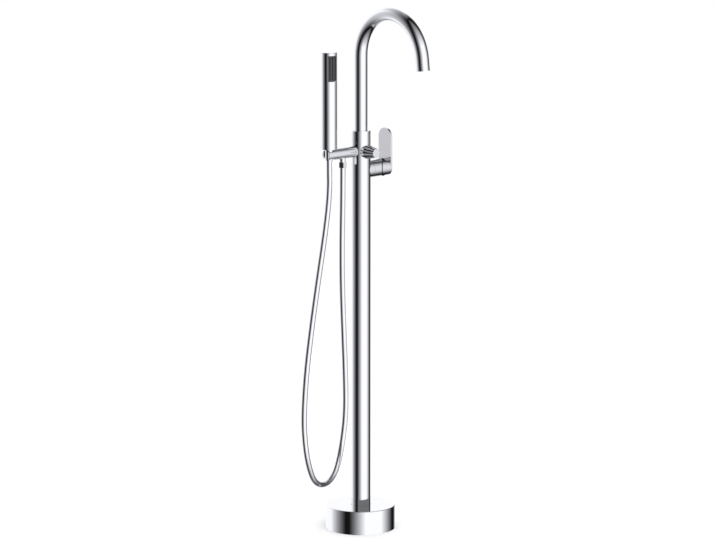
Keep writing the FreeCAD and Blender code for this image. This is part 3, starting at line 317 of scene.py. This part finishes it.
def moulded(name, low, high, smooth, rough):
    """A moulded plastic or rubber with a fine grain."""
    material, tree, shader = surface(name, "ShaderNodeBsdfPrincipled")
    grain = noise(tree, GRAIN_SCALE)
    tree.links.new(tint(tree, noise(tree, TINT_SCALE), low, high), shader.inputs["Base Color"])
    tree.links.new(between(tree, grain, smooth, rough), shader.inputs["Roughness"])
    bumped(tree, shader, grain, GRAIN_STRENGTH, GRAIN_DEPTH)
    return material


def chrome_with_painted_shade(name, shade):
    """Chrome with painted shade: a dark colour mixed in where a factor made from the piece's place is 1.
    """
    material = metal(name, **CHROME_LOOK)
    tree = material.node_tree
    colour = tree.nodes["Principled BSDF"].inputs["Base Color"]
    plain = colour.links[0].from_socket
    tree.links.new(tint(tree, shade(tree), plain, PAINTED_SHADE_COLOUR), colour)
    return material


def flute_painted_shade(tree):
    """1 where shade is painted, in the bottoms of the knob's flutes, which run along its taper."""
    x, y, z = own_place(tree)
    level = (KNOB_LOW.z + KNOB_HIGH.z) / 2
    turn = sums(tree, "ARCTAN2", sums(tree, "SUBTRACT", z, level), x)
    wave = sums(tree, "COSINE", sums(tree, "MULTIPLY", turn, FLUTES))
    on_taper = ramp(tree, y, KNOB_LOW.y + KNOB_FACE_EDGE, KNOB_LOW.y + 2 * KNOB_FACE_EDGE)
    return sums(tree, "MULTIPLY", ramp(tree, wave, FLUTE_SHADE_START, FLUTE_SHADE_FULL), on_taper)


def seam_painted_shade(tree):
    """1 where shade is painted, beside the saddle seam, a cylinder along Y where the sleeve meets the
    lever.
    """
    x, _, z = own_place(tree)
    up = sums(tree, "SUBTRACT", z, (SLEEVE_LOW.z + SLEEVE_HIGH.z) / 2)
    back = sums(tree, "SQRT", sums(tree, "SUBTRACT", SEAM_RADIUS ** 2, sums(tree, "MULTIPLY", up, up)))
    off = sums(tree, "ABSOLUTE", sums(tree, "ADD", sums(tree, "SUBTRACT", x, SEAM_AXIS), back))
    return sums(tree, "SUBTRACT", 1, ramp(tree, off, SEAM_SHADE_CORE, SEAM_SHADE_WIDTH))


# Chrome with painted shade in the knob's flute bottoms, and along the seam of the sleeve and the lever.
FLUTE_SHADED_CHROME = chrome_with_painted_shade("flute_shaded_chrome", flute_painted_shade)
SEAM_SHADED_CHROME = chrome_with_painted_shade("seam_shaded_chrome", seam_painted_shade)
# One finish for each material slot of the record.
MATERIALS = {
    "polished_chrome": metal("polished_chrome", **CHROME_LOOK),
    "hose_skin": metal("silver_hose", (0.86, 0.865, 0.88), (0.92, 0.925, 0.94),
                       smooth=0.09, rough=0.12, scale=40.0),
    "steel_plate": metal("brushed_steel", (0.55, 0.55, 0.56), (0.66, 0.66, 0.67),
                         smooth=0.28, rough=0.42, scale=60.0, stretch=(1, 1, 12), wave=0.2),
    "cast_brass": metal("machined_brass", (0.72, 0.52, 0.22), (0.83, 0.64, 0.32),
                        smooth=0.2, rough=0.34, scale=50.0, stretch=(1, 1, 8), wave=0.15),
    "copper_pipe": metal("drawn_copper", (0.72, 0.36, 0.22), (0.83, 0.47, 0.30),
                         smooth=0.22, rough=0.36, scale=40.0, stretch=(8, 8, 1), wave=0.1),
    "spray_grey": moulded("spray_plate_grey", (0.05, 0.05, 0.053), (0.065, 0.065, 0.068),
                          smooth=0.4, rough=0.55),
    "black_rubber": moulded("black_rubber", (0.02, 0.02, 0.02), (0.035, 0.035, 0.035),
                            smooth=0.5, rough=0.7),
    "white_plastic": moulded("white_plastic", (0.78, 0.78, 0.76), (0.84, 0.84, 0.82),
                             smooth=0.3, rough=0.45),
    "valve_stem": metal("ground_steel", (0.6, 0.6, 0.61), (0.7, 0.7, 0.71),
                        smooth=0.18, rough=0.28, scale=60.0),
}
# The nodes whose finish isn't their slot's.
FINISHES = {
    "diverter_knob": FLUTE_SHADED_CHROME,
    "temperature_sleeve": SEAM_SHADED_CHROME,
    "lever_handle": SEAM_SHADED_CHROME,
    "holder_liner": MATERIALS["black_rubber"],
}


# ---------------------------------------------------------------- meshes
def linked(name, data):
    """A new object in the scene."""
    piece = bpy.data.objects.new(name, data)
    bpy.context.scene.collection.objects.link(piece)
    return piece


def made(name, mesh):
    """A new object in the scene from a bmesh, which is freed."""
    data = bpy.data.meshes.new(name)
    mesh.to_mesh(data)
    mesh.free()
    return linked(name, data)


def flat_panel(name, corners):
    """A flat panel from its corners."""
    data = bpy.data.meshes.new(name)
    data.from_pydata(corners, [], [tuple(range(len(corners)))])
    return linked(name, data)


def smoothed(data, crease):
    """Smooth shading on a mesh, but for edges sharper than the crease."""
    data.polygons.foreach_set("use_smooth", [True] * len(data.polygons))
    data.set_sharp_from_angle(angle=crease)


def circle_angles(sides):
    """The angles of a circle's points."""
    return [2 * math.pi * side / sides for side in range(sides)]


def walls(mesh, rings):
    """The faces that join each ring of vertices to the next."""
    faces = []
    for near, far in zip(rings, rings[1:]):
        for side in range(len(near)):
            after = (side + 1) % len(near)
            faces.append(mesh.faces.new((near[side], near[after], far[after], far[side])))
    return faces


def ends(mesh, rings):
    """The two faces that close a row of rings."""
    return [mesh.faces.new(rings[0][::-1]), mesh.faces.new(rings[-1])]


def put_in_order(mesh):
    """Sorts vertices, edges and faces by their place, because a bevel's order changes from run to run."""
    places = (
        (mesh.verts, lambda vertex: tuple(vertex.co)),
        (mesh.edges, lambda edge: tuple(edge.verts[0].co + edge.verts[1].co)),
        (mesh.faces, lambda face: tuple(face.calc_center_median())),
    )
    for parts, place in places:
        for index, part in enumerate(sorted(parts, key=place)):
            part.index = index
        parts.sort()


# ---------------------------------------------------------------- pieces
def dress_frame():
    """Gives each CAD node its material, and smooth shading between its sharp edges."""
    slot_of = {part["node"]: part["material_slot"] for part in frame["record"]["subparts"]}
    for name, piece in frame["nodes"].items():
        piece.data.materials.clear()
        piece.data.materials.append(FINISHES.get(name, MATERIALS[slot_of[name]]))
        smoothed(piece.data, CAD_CREASE)
        piece.visible_glossy = name not in UNMIRRORED


def route_line(name, route):
    """The points of a smooth open spline whose control points are the route."""
    curve = bpy.data.curves.new(name, "CURVE")
    curve.dimensions = "3D"
    curve.resolution_u = HOSE_STEPS
    spline = curve.splines.new("NURBS")
    spline.points.add(len(route) - 1)
    for point, spot in zip(spline.points, route):
        point.co = (*spot, 1)
    spline.order_u = 3
    spline.use_endpoint_u = True
    line = linked(name, curve)
    bpy.context.view_layer.update()
    mesh = bpy.data.meshes.new_from_object(line.evaluated_get(bpy.context.evaluated_depsgraph_get()))
    points = [vertex.co.copy() for vertex in mesh.vertices]
    bpy.data.meshes.remove(mesh)
    bpy.data.objects.remove(line)
    return points


def tube_along(name, points, radius, sides):
    """A closed tube round a line of points, carried along without twist."""
    mesh = bmesh.new()
    rings = []
    across = Vector((0, 1, 0))
    last = len(points) - 1
    for index, point in enumerate(points):
        ahead = (points[min(index + 1, last)] - points[max(index - 1, 0)]).normalized()
        across = (across - ahead * across.dot(ahead)).normalized()
        up = ahead.cross(across)
        rings.append([mesh.verts.new(point + (across * math.cos(angle) + up * math.sin(angle)) * radius)
                      for angle in circle_angles(sides)])
    walls(mesh, rings)
    ends(mesh, rings)
    piece = made(name, mesh)
    smoothed(piece.data, PIECE_CREASE)
    return piece


def hose():
    """The hose, a smooth tube along its route, which stays in place."""
    points = route_line("hose_line", HOSE_ROUTE)
    piece = tube_along("hose_tube", points, HOSE_DIAMETER / 2, HOSE_SIDES)
    piece.data.materials.append(MATERIALS["hose_skin"])
    piece.visible_glossy = False
    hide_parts("shower_hose")
    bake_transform(piece)


def hex_ring(mesh, middle, inner, outer, level):
    """A ring of vertices on a hexagon's flats, inner from the axis, but no further out than outer."""
    ring = []
    for angle in circle_angles(NUT_SIDES):
        off = (angle + math.pi / NUT_FLATS) % (2 * math.pi / NUT_FLATS) - math.pi / NUT_FLATS
        radius = min(inner / math.cos(off), outer)
        ring.append(mesh.verts.new((middle.x + radius * math.cos(angle + NUT_TURN),
                                    middle.y + radius * math.sin(angle + NUT_TURN), level)))
    return ring


def outlet_nut():
    """Six-sided nut, with chamfered corners, that holds the hose to the shower arm."""
    low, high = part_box("hose_outlet_nut")
    corner = (high.x - low.x) / 2
    flat = corner * math.cos(math.pi / NUT_FLATS)
    outline = [
        (NUT_HOLE, NUT_HOLE, low.z),
        (flat, flat, low.z),
        (flat, corner, low.z + NUT_CHAMFER),
        (flat, corner, high.z - NUT_CHAMFER),
        (flat, flat, high.z),
        (NUT_SOCKET, NUT_SOCKET, high.z),
        (NUT_SOCKET, NUT_SOCKET, low.z + NUT_FLOOR),
        (NUT_HOLE, NUT_HOLE, low.z + NUT_FLOOR),
    ]
    mesh = bmesh.new()
    rings = [hex_ring(mesh, (low + high) / 2, *stop) for stop in outline]
    walls(mesh, rings + rings[:1])
    bmesh.ops.recalc_face_normals(mesh, faces=mesh.faces)
    piece = made("outlet_nut", mesh)
    piece.data.materials.append(MATERIALS["polished_chrome"])
    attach(piece, "stand")
    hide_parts("hose_outlet_nut")


def nozzle(mesh, x, z, foot):
    """One soft nozzle, in the second material, from its foot inside the plate to its tip."""
    tip = -SPRAY_FACE - NOZZLE_OUT
    outline = [(NOZZLE_RADIUS, foot)]
    outline += [(wide * NOZZLE_RADIUS, tip + deep * NOZZLE_OUT) for wide, deep in NOZZLE_OUTLINE]
    rings = [[mesh.verts.new((x + radius * math.cos(angle), y, z + radius * math.sin(angle)))
              for angle in circle_angles(NOZZLE_SIDES)] for radius, y in outline]
    for face in walls(mesh, rings) + ends(mesh, rings):
        face.material_index = 1


def spray_face():
    """Spray plate with rows of round soft nozzles, in the window of the handset."""
    low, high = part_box("spray_plate")
    core = SPRAY_THICK / 2 - SPRAY_FACE
    mesh = bmesh.new()
    bmesh.ops.create_cube(mesh, size=1)
    bmesh.ops.scale(mesh, vec=(SPRAY_WIDE, SPRAY_THICK, high.z - low.z), verts=mesh.verts)
    bmesh.ops.translate(mesh, vec=(0, core, 0), verts=mesh.verts)
    bmesh.ops.bevel(mesh, geom=mesh.edges, offset=SPRAY_EDGE, segments=2, affect="EDGES")
    for column in range(NOZZLE_COLUMNS):
        x = (column - (NOZZLE_COLUMNS - 1) / 2) * NOZZLE_ACROSS
        for row in range(NOZZLE_ROWS):
            z = (row - (NOZZLE_ROWS - 1) / 2) * NOZZLE_UP
            nozzle(mesh, x, z, core)
    bmesh.ops.recalc_face_normals(mesh, faces=mesh.faces)
    put_in_order(mesh)
    piece = made("spray_face", mesh)
    smoothed(piece.data, PIECE_CREASE)
    soft = moulded("nozzle_black", (0.008, 0.008, 0.009), (0.012, 0.012, 0.013), smooth=0.55, rough=0.7)
    soft.node_tree.nodes["Principled BSDF"].inputs["Specular IOR Level"].default_value = NOZZLE_GLOSS
    piece.data.materials.append(MATERIALS["spray_grey"])
    piece.data.materials.append(soft)
    piece.location = (HOSE_ROUTE[-1][0], 0, (low.z + high.z) / 2)
    piece.rotation_euler.z = -SPRAY_YAW
    piece.visible_glossy = False
    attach(piece, "handset")
    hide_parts("spray_plate")


# ---------------------------------------------------------------- studio
def share(value, start, end):
    """0 up to the start and 1 from the end on, in a straight line between them."""
    return min(max((value - start) / (end - start), 0), 1)


def linear(shown):
    """The light that the picture shows at a brightness, by the standard sRGB curve."""
    return shown / 12.92 if shown <= 0.04045 else ((shown + 0.055) / 1.055) ** 2.4


def room_level(height, turn):
    """The emission that shows the room's brightness at a height angle and a turn."""
    in_front = LEFT_GAP < turn < RIGHT_GAP
    pale = FRONT_PALE if in_front else BACK_PALE
    clear = 1
    for gap, back_soft in ((LEFT_GAP, LEFT_BACK_SOFT), (RIGHT_GAP, RIGHT_BACK_SOFT)):
        off = abs((turn - gap + 180) % 360 - 180)
        soft = FRONT_SOFT if in_front else back_soft
        clear = min(clear, share(off, GAP_HALF, GAP_HALF + soft) ** GAP_EASE)
    fade = 1 - (1 - FADE_SHOWN) * share(abs(height), FADE_START, FADE_END)
    return ROOM_GAIN * linear((DARK + (pale - DARK) * clear) * fade)


def room_corner(height, turn):
    """The spot on the dome at a height angle and a turn."""
    lift = math.radians(height)
    swing = TOWARD_CAMERA + math.radians(turn)
    flat = math.cos(lift)
    return Vector((flat * math.cos(swing), flat * math.sin(swing), math.sin(lift))) * ROOM_RADIUS


def gloss_only(piece):
    """Makes a piece that only mirror rays see."""
    piece.visible_camera = False
    piece.visible_diffuse = False
    piece.visible_shadow = False


def room():
    """A dome of pale and dark panels that only gloss sees."""
    mesh = bmesh.new()
    paint = mesh.loops.layers.float_color.new("panel")
    for height in range(-90, 90, ROOM_STEP):
        for turn in range(-180, 180, ROOM_STEP):
            above = height + ROOM_STEP
            beside = turn + ROOM_STEP
            spots = [(height, turn), (height, beside), (above, beside), (above, turn)]
            face = mesh.faces.new([mesh.verts.new(room_corner(*spot)) for spot in spots])
            for loop, spot in zip(face.loops, spots):
                level = room_level(*spot)
                loop[paint] = (*(level * part for part in ROOM_TINT), 1)
    dome = made("studio_room", mesh)
    dome.location.z = ROOM_MIDDLE
    material, tree, light = surface("studio_room", "ShaderNodeEmission")
    attribute = tree.nodes.new("ShaderNodeAttribute")
    attribute.attribute_name = "panel"
    tree.links.new(attribute.outputs["Color"], light.inputs["Color"])
    dome.data.materials.append(material)
    gloss_only(dome)


def card():
    """The grey card, which gloss sees from below and looks through from above."""
    swings = [TOWARD_CAMERA + math.radians(turn) for turn in range(CARD_LEFT, CARD_RIGHT + 1, CARD_STEP)]
    near, far = [[(radius * math.cos(swing), radius * math.sin(swing), CARD_LEVEL) for swing in swings]
                 for radius in (CARD_NEAR, CARD_FAR)]
    sheet = flat_panel("low_card", near + far[::-1])
    material, tree, light = surface("low_card", "ShaderNodeEmission")
    light.inputs["Strength"].default_value = CARD_SHOWN
    side = tree.nodes.new("ShaderNodeNewGeometry")
    choice = tree.nodes.new("ShaderNodeMixShader")
    clear = tree.nodes.new("ShaderNodeBsdfTransparent")
    tree.links.new(side.outputs["Backfacing"], choice.inputs["Fac"])
    tree.links.new(light.outputs["Emission"], choice.inputs[1])
    tree.links.new(clear.outputs["BSDF"], choice.inputs[2])
    tree.links.new(choice.outputs["Shader"], tree.nodes["Material Output"].inputs["Surface"])
    sheet.data.materials.append(material)
    gloss_only(sheet)


def floor():
    """The pale floor, a little paler to the camera, and left out of mirror rays."""
    corners = [(x * FLOOR_HALF, y * FLOOR_HALF, 0) for x, y in ((-1, -1), (1, -1), (1, 1), (-1, 1))]
    sheet = flat_panel("floor", corners)
    material, tree, shader = surface("pale_floor", "ShaderNodeBsdfPrincipled")
    shader.inputs["Roughness"].default_value = FLOOR_ROUGH
    colour = tint(tree, noise(tree, FLOOR_SCALE), FLOOR_LOW, FLOOR_HIGH)
    tree.links.new(colour, shader.inputs["Base Color"])
    ray = tree.nodes.new("ShaderNodeLightPath")
    lift = between(tree, ray.outputs["Is Camera Ray"], 0, FLOOR_LIFT)
    tree.links.new(lift, shader.inputs["Emission Strength"])
    shader.inputs["Emission Color"].default_value = WHITE
    sheet.data.materials.append(material)
    sheet.visible_glossy = False


def lights():
    """A white world and one large soft lamp, from the front left and above."""
    world = bpy.data.worlds.new("studio_world")
    bpy.context.scene.world = world
    world.use_nodes = True
    background = world.node_tree.nodes["Background"]
    background.inputs["Color"].default_value = WHITE
    background.inputs["Strength"].default_value = WORLD_LIGHT
    lamp = bpy.data.lights.new("key", "AREA")
    lamp.energy = LAMP_POWER
    lamp.size = LAMP_SIZE
    key = linked("key", lamp)
    key.location = LAMP_PLACE
    key.rotation_euler = (Vector(LAMP_AIM) - key.location).to_track_quat("-Z", "Y").to_euler()
    key.visible_glossy = False


def camera():
    """The photograph's own view: long lens, from the front left and a little above."""
    data = bpy.data.cameras.new("camera")
    data.sensor_width = SENSOR_WIDTH
    data.lens = SENSOR_WIDTH * FOCAL_PIXELS / PICTURE_WIDTH
    data.clip_end = CAMERA_REACH
    eye = linked("camera", data)
    back = Vector((
        math.sin(CAMERA_AZIMUTH) * math.cos(CAMERA_ELEVATION),
        -math.cos(CAMERA_AZIMUTH) * math.cos(CAMERA_ELEVATION),
        math.sin(CAMERA_ELEVATION),
    ))
    right = Vector((math.cos(CAMERA_AZIMUTH), math.sin(CAMERA_AZIMUTH), 0))
    aside = right * ((PICTURE_WIDTH / 2 - AXIS_COLUMN) / FOCAL_PIXELS * CAMERA_DISTANCE)
    eye.location = Vector((0, 0, AIM_HEIGHT)) + back * CAMERA_DISTANCE + aside
    eye.rotation_euler = back.to_track_quat("Z", "Y").to_euler()
    bpy.context.scene.camera = eye


camera()
dress_frame()
hose()
outlet_nut()
spray_face()
floor()
room()
card()
lights()
bpy.context.scene.view_settings.view_transform = "Standard"
